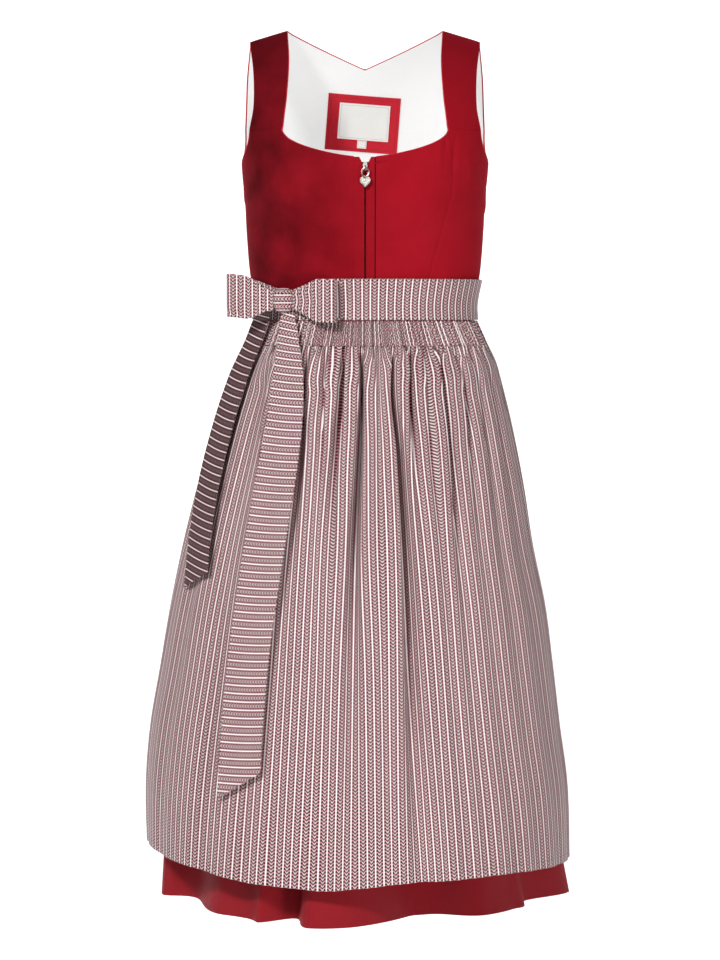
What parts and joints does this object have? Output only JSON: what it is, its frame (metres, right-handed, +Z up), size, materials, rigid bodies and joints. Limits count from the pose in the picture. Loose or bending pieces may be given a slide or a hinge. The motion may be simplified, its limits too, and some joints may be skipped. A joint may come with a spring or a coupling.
{
  "type": "dirndl with apron",
  "caption": "Sleeveless folk dress with a square neck, front zip, full calf-length skirt and a tied apron with a side bow, worn shape, hollow.",
  "frame": {"origin": "midway between the shoulder straps, at the height of their tops, where the wearer's shoulders carry the dress", "axes": "+Z up, the front faces -Y, +X is the wearer's left"},
  "size_m": [0.5414, 0.447, 1.0953],
  "materials": {
    "velvet": "cotton velvet, short pile",
    "skirt_cotton": "plain cotton with a faint gloss",
    "lining_cotton": "plain white cotton",
    "apron_weave": "striped herringbone jacquard, slight sheen",
    "piping": "satin bias tape",
    "label_cloth": "woven tape, blank",
    "zip_tape": "woven zip tape",
    "old_silver": "polished old silver, darkened in the recesses"
  },
  "bodies": {
    "dress": {"bodice_front_left": "velvet", "bodice_front_right": "velvet", "bodice_side_left": "velvet", "bodice_side_right": "velvet", "strap_left": "velvet", "strap_right": "velvet", "back_side_left": "velvet", "back_side_right": "velvet", "back_centre": "velvet", "placket_left": "velvet", "placket_right": "velvet", "lining_front_left": "lining_cotton", "lining_front_right": "lining_cotton", "lining_strap_left": "lining_cotton", "lining_strap_right": "lining_cotton", "lining_back": "lining_cotton", "zip_chain": "zip_tape", "zip_slider": "old_silver", "label_patch": "piping", "woven_label": "label_cloth", "size_tag": "label_cloth", "skirt_front": "skirt_cotton", "skirt_back_left": "skirt_cotton", "skirt_back_right": "skirt_cotton", "waistband": "apron_weave", "apron_tie": "apron_weave", "apron_smocking": "apron_weave", "apron_skirt": "apron_weave", "bow_knot": "apron_weave", "bow_loop_left": "apron_weave", "bow_loop_right": "apron_weave", "end_long": "apron_weave", "end_short": "apron_weave"},
    "ring": {"pull_ring": "old_silver"},
    "charm": {"heart_charm": "old_silver"}
  },
  "joints": [
    {"name": "ring_swing", "type": "hinge", "parent": "dress", "child": "ring", "pos_m": [0, -0.1266, -0.1745], "axis": [-1, 0, 0], "range_deg": [-8, 120]},
    {"name": "charm_swing", "type": "hinge", "parent": "ring", "child": "charm", "pos_m": [0, -0.1266, -0.1851], "axis": [-1, 0, 0], "range_deg": [0, 60]}
  ]
}
